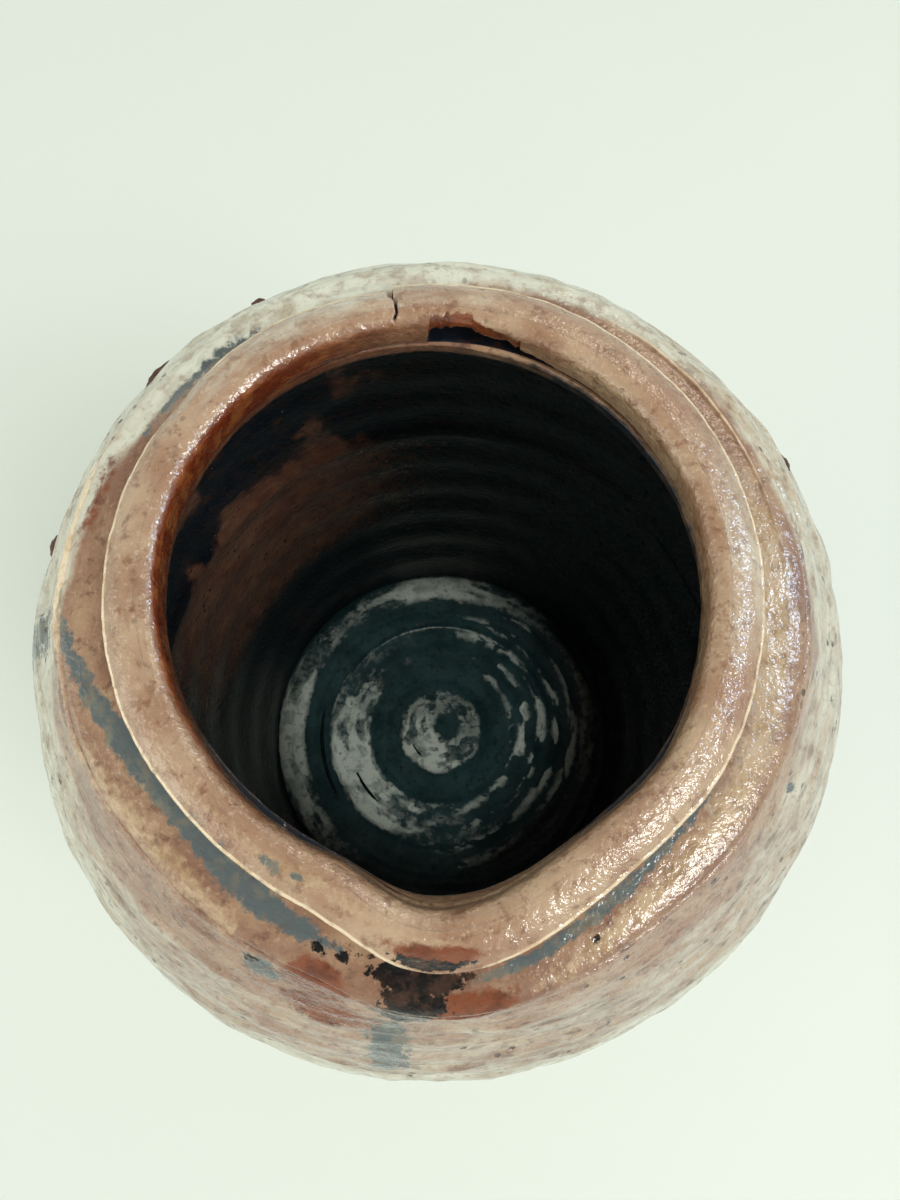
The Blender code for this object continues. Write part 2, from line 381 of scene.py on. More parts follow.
def rim_profile():
    """Closed section of the rolled rim: crest, band, sharp ledge, undercut, foot on the neck, inner wall."""
    size = ((LIP_RADIUS - CREST) / cos(radians(BAND_END)), BAND_DROP)
    band = arc((CREST, TOP - BAND_DROP), size, 90.0, BAND_END, 14)
    edge = [
        (LIP_RADIUS + 0.10 * MM, SHARP_LEDGE - 0.05 * MM),
        (LIP_RADIUS + 0.20 * MM, SHARP_LEDGE - 0.15 * MM),
        (LIP_RADIUS + 0.10 * MM, SHARP_LEDGE - 0.40 * MM),
        (LIP_RADIUS - 0.20 * MM, LEDGE + 0.70 * MM),
    ]
    undercut = [(LIP_RADIUS - 0.5 * MM, LEDGE - 0.1 * MM), (NECK + 0.1 * MM, SEAM + 0.5 * MM)]
    foot = [
        (NECK - 0.5 * MM, SEAM - 0.3 * MM),
        (THROAT + 2.6 * MM, SEAM - 0.3 * MM),
        (THROAT + 0.35 * MM, SEAM - 0.2 * MM),
    ]
    wall = [(THROAT, SEAM + 0.5 * MM), (THROAT - 0.05 * MM, SEAM + 1.5 * MM)]
    inner = arc((CREST, TOP - 1.7 * MM), (CREST - THROAT, 1.7 * MM), 180.0, 96.0, 7)
    return np.concatenate([band, edge, undercut, foot, wall, inner])


def slab_profile():
    """Open section from the floor's centre out, down to the foot, and back to the axis under it."""
    r = np.linspace(0.4 * MM, FLOOR_RADIUS + 0.3 * MM, 150)
    floor = np.stack([r, FLOOR + floor_height(r)], axis=1)
    edge = wall_radius(FOOT_SEAM)
    side = [
        (FLOOR_RADIUS + 0.3 * MM, FOOT_SEAM),
        (edge - 0.5 * MM, FOOT_SEAM),
        (edge - 0.05 * MM, FOOT_SEAM - 0.4 * MM),
    ]
    foot = arc((FOOT_RADIUS - FOOT_ROUND, FOOT_ROUND), (FOOT_ROUND, FOOT_ROUND), 10.0, -90.0, 8)
    under = np.stack([np.linspace(FOOT_RADIUS - 3.0 * MM, 0.4 * MM, 40), np.zeros(40)], axis=1)
    return np.concatenate([floor, side, foot, under])


# Radius and rise in mm of the floor's finger rings: boss, groove, ring, fine ridge, groove and border.
FINGER_RINGS = (
    (0.0, -0.2), (1.5, 0.0), (4.5, 0.9), (8.5, 0.9), (11.0, 0.1), (13.5, -0.5), (16.5, -0.4), (19.0, 0.5),
    (23.0, 0.6), (26.3, 0.2), (27.3, 0.6), (28.6, -0.3), (32.0, -0.5), (36.0, 0.1), (39.5, 0.5), (42.0, 0.0),
)


def floor_height(r):
    """Rise of the floor at a radius: the finger rings, joined by straight lines and then smoothed."""
    radii, rise = MM * np.transpose(FINGER_RINGS)
    dense = np.linspace(0.0, radii[-1], 800)
    joined = np.interp(dense, radii, rise)
    kernel = np.hanning(25)
    padded = np.pad(joined, 12, mode="edge")
    return np.interp(r, dense, np.convolve(padded, kernel / kernel.sum(), mode="valid"))


# ---------------------------------------------------------------- glaze marks


# Masks kept on every vertex. The last one is near-black painted shade, with real sooty patches inside the
# body;
# the pale edge line is partly painted highlight, and the pale ash layer also carries painted sheen and
# reflection.
MARKS = ("slate", "black", "bare", "ember", "ochre", "veil", "edge", "soot_and_shade")

# Where the rough ash-veiled clay begins outside the smooth shelf: angle, distance fallen in mm, and how thick
# the ash lies beyond it.
ASH_LINE = (
    (-180, 37.6, 0.90), (-150, 36.6, 0.88), (-125, 37.8, 0.82), (-105, 39.8, 0.74), (-90, 40.6, 0.74),
    (-70, 45.0, 0.66), (-50, 46.5, 0.42), (-25, 46.5, 0.30), (0, 45.6, 0.32), (25, 45.8, 0.36),
    (45, 45.0, 0.38), (60, 44.0, 0.48), (75, 43.4, 0.58), (90, 42.8, 0.64), (110, 40.4, 0.70),
    (135, 39.5, 0.80), (160, 38.6, 0.86), (180, 37.6, 0.90),
)

# Runs that wander over the shoulder: strength, then stations of angle, radius and half-width in mm, share.
SLATE_RUNS = (
    (
        1.0, (-92, 43.6, 1.2, 0.4), (-76, 40.2, 1.5, 0.8), (-64, 37.5, 1.6, 1.0), (-52, 36.4, 1.6, 1.0),
        (-40, 36.3, 1.7, 1.0), (-30, 37.0, 2.1, 1.0), (-22, 37.6, 1.7, 0.9), (-12, 37.8, 1.0, 0.4),
    ),
    (
        1.0, (6, 37.8, 0.7, 0.4), (14, 37.5, 0.9, 0.9), (30, 37.0, 1.0, 0.9), (40, 36.5, 0.8, 0.8),
        (50, 36.2, 0.6, 0.7), (60, 36.0, 0.5, 0.3),
    ),
    (0.72, (-152, 37.6, 0.8, 0.3), (-140, 38.2, 1.2, 0.9), (-126, 38.0, 1.1, 1.0), (-112, 38.4, 0.8, 0.3)),
)
OCHRE_RUNS = (
    (
        0.58, (-78, 44.5, 1.4, 0.05), (-64, 42.4, 2.2, 0.9), (-52, 40.9, 2.2, 1.0), (-40, 40.2, 2.0, 1.0),
        (-28, 41.6, 1.8, 1.1),
    ),
    (
        0.75, (14, 40.6, 1.2, 0.5), (30, 39.6, 1.6, 1.0), (44, 39.2, 1.9, 0.9), (60, 38.6, 2.4, 1.0),
        (80, 38.0, 2.6, 1.0), (100, 37.8, 2.4, 0.9), (118, 37.6, 2.0, 0.2),
    ),
    (
        0.5, (-60, 33.0, 1.2, 0.3), (-28, 33.0, 1.2, 1.0), (-12, 32.5, 1.0, 1.0), (0, 32.4, 0.8, 1.0),
        (12, 32.6, 0.6, 0.3),
    ),
)
RUST_LINE = (0.6, (60, 41.6, 0.5, 0.2), (80, 41.9, 0.5, 1.0), (100, 41.4, 0.5, 0.4))
# Painted window sheen: a pale ash tone on the right of the shelf; strength, then stations as above.
SHELF_SHEEN = (0.5, (50, 37.8, 1.8, 0.5), (70, 37.6, 2.2, 1.0), (90, 37.6, 2.2, 1.0), (112, 37.6, 1.8, 0.3))

# Spots: strength, angle, radius in mm, half-angle and half-width in mm.
SLATE_SPOTS = (
    (0.75, 62.0, 45.4, 1.6, 1.1), (0.95, -23.0, 43.8, 3.2, 1.3), (0.75, -27.0, 33.3, 3.0, 0.7),
    (0.7, -22.0, 33.0, 2.0, 0.6),
)
BLACK_SPOTS = (
    (1.3, -1.5, 37.8, 7.0, 1.6), (1.2, -1.5, 40.6, 4.8, 2.6), (1.05, -3.0, 43.2, 4.4, 1.2),
    (0.8, -16.0, 38.6, 1.6, 0.8), (0.8, -12.0, 38.4, 1.8, 0.8), (0.75, -24.5, 43.4, 1.4, 0.7),
    (0.9, 25.0, 39.3, 0.7, 0.5), (0.8, 24.0, 51.5, 0.6, 0.6), (1.15, 0.5, 34.5, 6.0, 0.6),
)
BARE_SPOTS = (
    (1.2, 6.5, 41.0, 6.0, 2.4), (1.2, -15.0, 42.0, 5.0, 2.6), (1.1, -13.0, 45.6, 7.0, 2.0),
    (1.2, 1.0, 33.7, 7.0, 1.1), (0.75, 54.0, 44.6, 4.0, 0.6), (0.75, 45.0, 47.9, 4.0, 0.6),
    (0.6, -104.0, 40.0, 12.0, 1.6),
)

# Streams that fall straight down: strength, angle, half-angle, and the fallen distances in mm of both ends.
SLATE_STREAMS = (
    (0.85, -5.0, 3.4, 44.5, 54.0), (0.6, 172.0, 6.0, 54.0, 66.0), (0.6, 118.0, 5.0, 55.0, 64.0),
    (0.6, -108.0, 5.0, 54.0, 63.0), (0.7, -84.0, 5.0, 44.5, 57.0),
)


def strongest(*masks):
    """The largest of several masks at each point."""
    return np.maximum.reduce(masks)


def fallen(turning):
    """Distance in mm that glaze has run out and down from the axis: it keeps growing below the belly."""
    return np.where(turning.height > BELLY, turning.radius, 2.0 * BODY_RADIUS - turning.radius) / MM


def run(turning, strength, *stations):
    """Soft band that wanders over the shoulder through its stations, and is a bell curve across."""
    turn = turn_from(turning.angle, 0.0)
    angles, radii, widths, shares = np.transpose(stations)
    centre = np.interp(turn, angles, radii)
    width = np.interp(turn, angles, widths)
    share = np.interp(turn, angles, shares, left=0.0, right=0.0)
    return strength * share * hump(turning.radius / MM, centre, width)


def spot(turning, strength, angle, radius, half_angle, half_width):
    """Soft spot on the shoulder: a bell curve both round the pot and outwards."""
    return strength * bump(turning.angle, angle, half_angle) * hump(turning.radius / MM, radius, half_width)


def stream(turning, strength, angle, half_angle, start, stop):
    """A run that falls straight down the outside between two fallen distances, with soft ends."""
    down = fallen(turning)
    ends = smooth(start - 1.0, start + 1.0, down) * smooth(stop + 2.0, stop - 2.0, down)
    return strength * ends * bump(turning.angle, angle, half_angle)


def laid(turning, shape, rows):
    """The strongest of several runs, spots or streams."""
    return strongest(*(shape(turning, *row) for row in rows))


def rough_share(turning):
    """1 on the rough ash-veiled clay, 0 on the smooth shelf: it begins close to the ledge at the far side."""
    angles, starts, _ = np.transpose(ASH_LINE)
    return smooth(-0.8, 1.2, fallen(turning) - np.interp(turn_from(turning.angle, 0.0), angles, starts))


def mark_set(turning, **marks):
    """A mask for every mark: the ones given, and nothing for the rest."""
    empty = np.zeros_like(turning.radius)
    return {key: marks.get(key, empty) for key in MARKS}


def shoulder_marks(turning):
    """Masks of what the kiln left on neck and shoulder (slate and black runs, bare glossy slip, pale ash),
    with painted sheen and reflection in the ash layer.
    """
    angle, down = turning.angle, fallen(turning)
    far_right = smooth(40.0, 41.5, down) * smooth(52.0, 48.0, down) * bump(angle, 122.0, 30.0)
    angles, _, shares = np.transpose(ASH_LINE)
    veil = strongest(
        rough_share(turning) * np.interp(turn_from(angle, 0.0), angles, shares),
        # Pale ash tone at the belly's outline and low on the left: partly thicker ash, partly painted
        # reflection of the pale table.
        smooth(47.0, 53.5, down) * bump(angle, -72.0, 42.0),
        0.85 * smooth(51.5, 57.5, down) * (1.0 - bump(angle, 180.0, 70.0)),
        run(turning, *SHELF_SHEEN),
    )
    return mark_set(
        turning,
        slate=strongest(
            laid(turning, run, SLATE_RUNS),
            laid(turning, spot, SLATE_SPOTS),
            laid(turning, stream, SLATE_STREAMS),
        ),
        black=laid(turning, spot, BLACK_SPOTS),
        bare=strongest(laid(turning, spot, BARE_SPOTS), run(turning, *RUST_LINE)),
        ochre=strongest(laid(turning, run, OCHRE_RUNS), 0.55 * far_right),
        veil=veil * smooth(30.0 * MM, 90.0 * MM, turning.height),
    )


# ---------------------------------------------------------------- materials


def add_node(tree, kind, output, inputs=None, **settings):
    """Add a shader node and give one of its outputs. Each input is a value, or an output socket to link."""
    made = tree.nodes.new("ShaderNode" + kind)
    for key, value in settings.items():
        setattr(made, key, value)
    for key, value in (inputs or {}).items():
        if isinstance(value, bpy.types.NodeSocket):
            tree.links.new(value, made.inputs[key])
        else:
            made.inputs[key].default_value = value
    return made.outputs[output]


# Noise fields of the clay: name, space, size of a feature, detail and roughness. Flame clouds are about a
# centimetre across, blotches a few millimetres, and specks and the glaze's bumps a millimetre or less.
GRAIN_FIELDS = (
    ("cloud", "place", 9.0 * MM, 4.0, 0.55),
    ("blotch", "place", 3.2 * MM, 4.0, 0.60),
    ("mottle", "place", 1.6 * MM, 3.0, 0.70),
    ("speckle", "place", 0.6 * MM, 2.0, 0.60),
    ("peel", "place", 1.0 * MM, 2.5, 0.60),
    ("line", "drawn", 8.0 * MM, 5.0, 0.60),
    ("dash", "drawn", 3.6 * MM, 2.0, 0.55),
)
PINHOLE_SPACING = 2.4 * MM
LINE_STRETCH = 3.2  # throwing lines are this much longer round the pot than across
SCORCH = "3a2119"
HOLE_SHADE = "2a1711"


def fired_stoneware(name, clay, layers, gloss, coat, peel, pits, streaks=0.0):
    """Wood-fired stoneware: iron-brown clay clouded by the flame, under layers of slip, ash and runs, and of
    painted shade, sheen and highlight.

    clay is four colours: two that cloud each other, dark spots and pale grains. gloss is the range of its
    roughness, and coat is how much clear ash glaze lies on top. peel and pits[0] are heights in mm of the
    orange-peel bumps and the pinholes, pits[1] is how dark the holes are, and streaks is how much the
    throwing lines show.
    """
    material = bpy.data.materials.new(name)
    material.use_nodes = True
    tree = material.node_tree
    shader = tree.nodes["Principled BSDF"]
    place = add_node(tree, "TexCoord", "Object")
    turned = add_node(tree, "Attribute", "Vector", attribute_name="turned")
    drawn = add_node(tree, "Mapping", "Vector", {"Vector": turned, "Scale": (1.0, 1.0, LINE_STRETCH)})
    field = {}
    for key, space, size, detail, roughness in GRAIN_FIELDS:
        inputs = {"Scale": 1.0 / size, "Detail": detail, "Roughness": roughness}
        inputs["Vector"] = drawn if space == "drawn" else place
        field[key] = add_node(tree, "TexNoise", "Fac", inputs)
    hole = add_node(tree, "TexVoronoi", "Distance", {"Vector": place, "Scale": 1.0 / PINHOLE_SPACING})
    narrow = {"Value": hole, "From Min": 0.20, "From Max": 0.08}
    narrow = add_node(tree, "MapRange", "Result", narrow, interpolation_type="SMOOTHSTEP")
    crowded = {"Value": field["cloud"], "From Min": 0.44, "From Max": 0.56}
    crowded = add_node(tree, "MapRange", "Result", crowded, interpolation_type="SMOOTHSTEP")
    field["hole"] = add_node(tree, "Math", 0, {0: narrow, 1: crowded}, operation="MULTIPLY")

    def tinted(colour, tints):
        """Lay colours over one another, each where its field is between two levels."""
        for key, low, high, most, tint in tints:
            span = {"Value": field[key], "From Min": low, "From Max": high, "To Max": most}
            share = add_node(tree, "MapRange", "Result", span, interpolation_type="SMOOTHSTEP")
            colour = add_node(tree, "Mix", 2, {0: share, 6: colour, 7: linear(tint)}, data_type="RGBA")
        return colour

    colour = tinted(
        linear(clay[0]),
        [
            ("cloud", 0.35, 0.65, 1.0, clay[1]),
            ("mottle", 0.52, 0.70, 0.50, clay[2]),
            ("line", 0.50, 0.36, 0.8 * streaks, clay[2]),
            ("speckle", 0.56, 0.72, 0.35, clay[3]),
            ("line", 0.54, 0.70, 0.6 * streaks, clay[3]),
        ],
    )
    spread = {"Value": field["mottle"], "From Min": 0.3, "From Max": 0.7}
    spread.update({"To Min": gloss[0], "To Max": gloss[1]})
    rough = add_node(tree, "MapRange", "Result", spread)
    for mark, tones, dull, space, size, ragged, soft in layers:
        painted = add_node(tree, "Attribute", "Fac", attribute_name=mark)
        inputs = {"Scale": 1.0 / size, "Detail": 4.0, "Roughness": 0.65}
        inputs["Vector"] = drawn if space == "drawn" else place
        torn = add_node(tree, "TexNoise", "Fac", inputs)
        torn = add_node(tree, "Math", 0, {0: torn, 1: ragged, 2: painted}, operation="MULTIPLY_ADD")
        middle = 0.5 + 0.5 * ragged
        edge = {"Value": torn, "From Min": middle - soft, "From Max": middle + soft}
        edge = add_node(tree, "MapRange", "Result", edge, interpolation_type="SMOOTHSTEP")
        present = add_node(tree, "MapRange", "Result", {"Value": painted, "From Min": 0.02, "From Max": 0.2})
        share = add_node(tree, "Math", 0, {0: edge, 1: present}, operation="MULTIPLY")
        tone = tinted(list(tones[0]), [("blotch", 0.46, 0.64, 0.8, tones[1])])
        colour = add_node(tree, "Mix", 2, {0: share, 6: colour, 7: tone}, data_type="RGBA")
        rough = add_node(tree, "Mix", 0, {0: share, 2: rough, 3: dull}, data_type="FLOAT")
    colour = tinted(
        colour,
        [
            ("line", 0.46, 0.30, 0.9 * streaks, clay[2]),
            ("mottle", 0.50, 0.72, 0.30, clay[2]),
            ("dash", 0.60, 0.68, 1.5 * streaks, SCORCH),
            ("hole", 0.0, 1.0, pits[1], HOLE_SHADE),
        ],
    )
    rises = {"peel": peel, "speckle": 0.4 * peel, "line": 0.8 * streaks, "dash": -0.5 * streaks}
    rises["hole"] = -pits[0]
    height = 0.0
    for key, rise in rises.items():
        height = add_node(tree, "Math", 0, {0: field[key], 1: rise, 2: height}, operation="MULTIPLY_ADD")
    relief = add_node(tree, "Bump", "Normal", {"Height": height, "Distance": 1.0 * MM, "Strength": 1.0})
    tree.links.new(colour, shader.inputs["Base Color"])
    tree.links.new(rough, shader.inputs["Roughness"])
    tree.links.new(relief, shader.inputs["Normal"])
    tree.links.new(relief, shader.inputs["Coat Normal"])
    # A fired ash glaze is a thin glass: an IOR near 1.5, and a sharper reflection than the clay's own.
    shader.inputs["IOR"].default_value = 1.52
    shader.inputs["Coat Weight"].default_value = coat
    shader.inputs["Coat Roughness"].default_value = 0.09
    shader.inputs["Specular IOR Level"].default_value = 0.35
    shader.inputs["Coat IOR"].default_value = 1.5
    return material


def shoulder_layers(colours):
    """What is laid over the clay, painted shade and highlight among it: mark, two tones, roughness, space and
    size of grain, ragged and soft edge.
    """
    return [
        # Pale ash layer; in places it also stands for painted sheen and reflection.
        ("veil", (colours.ash, "b6a890"), 0.30, "drawn", 6.0 * MM, 1.1, 0.48),
        ("ochre", (linear("b99d7a"), "a08058"), 0.28, "place", 1.2 * MM, 1.3, 0.30),
        ("slate", (colours.slate, "7d7866"), 0.26, "place", 1.4 * MM, 1.5, 0.16),
        ("bare", (colours.rust, "5e301f"), 0.10, "place", 1.2 * MM, 1.2, 0.18),
        ("ember", (linear("6e3019"), "98592f"), 0.10, "drawn", 5.0 * MM, 0.5, 0.40),
        ("black", (colours.tar, "3c2a1f"), 0.10, "place", 1.0 * MM, 1.8, 0.08),
        # A cream line along the ledge and ridges: paler glaze where it breaks over them, and painted
        # highlight.
        ("edge", (linear("e6cfab"), "cfae84"), 0.20, "place", 2.0 * MM, 0.5, 0.25),
        # Near-black painted shade, with real sooty patches high inside the body.
        ("soot_and_shade", (linear("151d26"), "131315"), 0.30, "place", 3.0 * MM, 1.0, 0.25),
    ]


def floor_layers():
    """Pooled grey ash, dark grooves, and the bare brown clay of the foot."""
    return [
        ("veil", (linear("c4c5b2"), "8d9284"), 0.50, "place", 1.6 * MM, 1.1, 0.30),
        ("black", (linear("06090a"), "0b1011"), 0.25, "place", 1.0 * MM, 0.6, 0.10),
        ("bare", (linear("8a6448"), "6f4a35"), 0.60, "place", 2.0 * MM, 0.4, 0.20),
    ]


# ---------------------------------------------------------------- settings


class BottleSizes(bpy.types.PropertyGroup):
    """Sizes of the thrown and pulled shape that change its look."""

    lip_reach: bpy.props.FloatProperty(
        name="Lip reach", description="How far the pouring lip is pulled past the rim", default=4.6 * MM,
        unit="LENGTH", subtype="DISTANCE",
    )
    throwing_lines: bpy.props.FloatProperty(
        name="Throwing lines", description="Height of the fine lines round the body", default=0.36 * MM,
        unit="LENGTH", subtype="DISTANCE",
    )
    unevenness: bpy.props.FloatProperty(
        name="Unevenness", description="Height of the lumps left by the fingers", default=0.26 * MM,
        unit="LENGTH", subtype="DISTANCE",
    )
    crack_width: bpy.props.FloatProperty(
        name="Crack width", description="Width of the drying crack across the rim", default=0.6 * MM,
        unit="LENGTH", subtype="DISTANCE",
    )
    seam_depth: bpy.props.FloatProperty(
        name="Seam depth", description="Depth of the open fold inside the rim", default=2.3 * MM,
        unit="LENGTH", subtype="DISTANCE",
    )


class BottleColours(bpy.types.PropertyGroup):
    """Colours of what the fire left on the clay, and of the stage."""

    ash: bpy.props.FloatVectorProperty(
        name="Ash", description="Colour of the ash veil over the body", default=linear("d6d4be"),
        subtype="COLOR", size=4,
    )
    slate: bpy.props.FloatVectorProperty(
        name="Slate", description="Colour of the grey runs", default=linear("575e5c"),
        subtype="COLOR", size=4,
    )
    rust: bpy.props.FloatVectorProperty(
        name="Rust", description="Colour of the bare glossy slip", default=linear("7d452a"),
        subtype="COLOR", size=4,
    )
    tar: bpy.props.FloatVectorProperty(
        name="Tar", description="Colour of the black run at the lip", default=linear("0d0b0a"),
        subtype="COLOR", size=4,
    )
    paper: bpy.props.FloatVectorProperty(
        name="Stage", description="Colour of the pale table", default=linear("e4e8da"),
        subtype="COLOR", size=4,
    )


# ---------------------------------------------------------------- pieces


def crowding(points):
    """Weight that puts more profile points on the outside of the shoulder, where the lines show."""
    outer = points[:, 0] > wall_radius(points[:, 1]) - 2.0 * MM
    return 1.0 + 1.6 * outer * (points[:, 1] > 95.0 * MM)


class BOTTLE_OT_body_wall(bpy.types.Operator):
    """Thrown body wall with fine lines, pits and a bead at the ridge."""

    bl_idname = "bottle.body_wall"
    bl_label = "Body Wall"

    def execute(self, context):
        sizes = context.scene.bottle_sizes
        turning = Turning(spaced(softened(wall_profile(), 2), 212, density=crowding), around(440))
        angle = turning.angle
        outside = smooth(-3.5 * MM, -1.5 * MM, turning.radius - wall_radius(turning.height))
        inside = 1.0 - outside
        marks = {key: mask * outside for key, mask in shoulder_marks(turning).items()}
        # Painted shade: a near-black sheet over the inside wherever the window's light does not fall; the
        # patch it lights
        # keeps the clay's brown, but for real sooty patches high on it.
        smoke = 0.8 + 1.1 * fractal_noise(turning.points(), 11.0 * MM, 3, seed=5)
        smoked = np.clip(smooth(66.0 * MM, 72.0 * MM, turning.height) * smoke, 0.0, 1.0)
        window_lit = bump(angle, -128.0, 46.0) * smooth(25.0 * MM, 45.0 * MM, turning.height)
        marks["soot_and_shade"] = inside * (1.0 - window_lit * (1.0 - smoked))
        marks["ember"] = 0.55 * inside
        # Painted highlight: a cream line along the ridge on the left.
        marks["edge"] = 0.9 * outside * hump(turning.height, RIDGE, 0.35 * MM) * bump(angle, -96.0, 26.0)
        near_ridge = smooth(2.6 * MM, 0.4 * MM, np.abs(turning.height - RIDGE)) * outside
        right, front = 0.4 * bump(angle, 85.0, 30.0), 0.5 * bump(angle, 0.0, 14.0)
        strong = strongest(bump(angle, -88.0, 26.0), right, front)
        turning.swell(near_ridge * (0.40 * MM * strong - 0.20 * MM * (1.0 - strong)))
        turning.swell(inside * 0.7 * MM * hump(turning.height, 70.0 * MM, 1.2 * MM))
        rough = rough_share(turning)
        lines = fractal_noise(turning.streak_space(), np.array([12.0, 12.0, 1.4]) * MM, 3, seed=3)
        lumps = fractal_noise(turning.points(), 8.0 * MM, 4, seed=7)
        lines = sizes.throwing_lines * lines * (0.35 + 0.65 * rough)
        turning.swell(outside * (lines + sizes.unevenness * lumps))
        finger = np.cos(2.0 * pi * turning.along / (11.0 * MM) + angle)
        turning.swell(inside * (0.28 * MM * finger + 0.15 * MM * lumps))
        handmade(turning)
        pull_lip(turning, sizes.lip_reach)
        # Stoneware thrown rough and wood-fired: a dull brown under thin ash, with lines and pinholes that
        # break up the light, and only a half-gloss where the ash melted.
        clay = fired_stoneware(
            "iron_brown_wood_fired_stoneware", ("93705a", "a98a6e", "6a4535", "c8ae92"),
            shoulder_layers(context.scene.bottle_colours), (0.26, 0.40), 0.7, 0.24, (0.30, 0.8), streaks=0.3,
        )
        settle(skin("thrown_body_wall", turning, marks, clay), ["body_wall"])
        return {"FINISHED"}


class BOTTLE_OT_neck_collar(bpy.types.Operator):
    """Smooth slip-coated shelf, neck and throat."""

    bl_idname = "bottle.neck_collar"
    bl_label = "Neck Collar"

    def execute(self, context):
        sizes = context.scene.bottle_sizes
        turning = Turning(spaced(softened(collar_profile(), 2), 140), around(640))
        angle, up = turning.angle, turning.normal_up
        outside = smooth(-0.3, 0.3, up) * smooth(NECK - 1.5 * MM, NECK, turning.radius)
        marks = {key: mask * outside for key, mask in shoulder_marks(turning).items()}
        throat = smooth(-0.1, -0.5, turning.normal_out) * smooth(NECK, THROAT + 1.0 * MM, turning.radius)
        turning.radius = turning.radius + throat * MM * (0.45 - 0.85 * bump(angle, 145.0, 50.0))
        # A cream line on a second raised ledge at the far right: paler glaze breaking over it, and painted
        # highlight.
        second_line = outside * bump(angle, 130.0, 30.0) * hump(turning.radius, 39.4 * MM, 0.24 * MM)
        marks["edge"] = 0.7 * second_line
        turning.swell(0.3 * MM * second_line)
        marks["ember"] = 0.7 * throat * bump(angle, -120.0, 70.0)
        # Painted shade: deep in the throat, on its far right, on faces turned down, and on the neck under the
        # rim.
        under_rim = smooth(0.3, 0.6, up) * smooth(THROAT + 0.15 * MM, THROAT + 0.5 * MM, turning.radius)
        under_rim = under_rim * smooth(NECK - 0.4 * MM, NECK - 0.9 * MM, turning.radius)
        deep = throat * smooth(-1.4 * MM, -3.0 * MM, turning.height - SEAM)
        shaded = 0.62 * throat * bump(angle, 128.0, 52.0)
        marks["soot_and_shade"] = 1.2 * strongest(deep, shaded, smooth(-0.4, -0.8, up), under_rim)
        near_ledge = smooth(4.0 * MM, 0.0, np.abs(turning.radius - LIP_RADIUS)) * outside
        turning.height = turning.height + 1.6 * MM * bump(angle, WORN_ANGLE, 8.0) * near_ledge
        lines = fractal_noise(turning.streak_space(), np.array([14.0, 14.0, 1.6]) * MM, 2, seed=11)
        lumps = fractal_noise(turning.points(), 5.0 * MM, 3, seed=13)
        rough = outside * rough_share(turning)
        coarse = rough * (sizes.throwing_lines * lines + 0.5 * sizes.unevenness * lumps)
        turning.swell(0.05 * MM * lines + 0.10 * MM * lumps + coarse)
        handmade(turning)
        pull_lip(turning, sizes.lip_reach)
        # Iron slip brushed on stoneware and fired: a smooth, half-glossy brown with a fine orange peel.
        slip = fired_stoneware(
            "brown_slip_on_stoneware", ("85604a", "a58465", "5f3d2e", "c0a384"),
            shoulder_layers(context.scene.bottle_colours), (0.24, 0.38), 0.5, 0.16, (0.06, 0.4), streaks=0.10,
        )
        settle(skin("slip_coated_neck", turning, marks, slip), ["neck_collar"])
        return {"FINISHED"}


# How far the fold inside the rim gapes: angle, and gap in mm. It is widest at the far side.
FOLD_GAPE = (
    (84.0, 0.0), (92.0, 0.35), (120.0, 0.5), (150.0, 0.8), (161.0, 1.3), (164.0, 1.9), (168.0, 2.3),
    (173.0, 3.0), (182.0, 3.1), (183.0, 0.0),
)


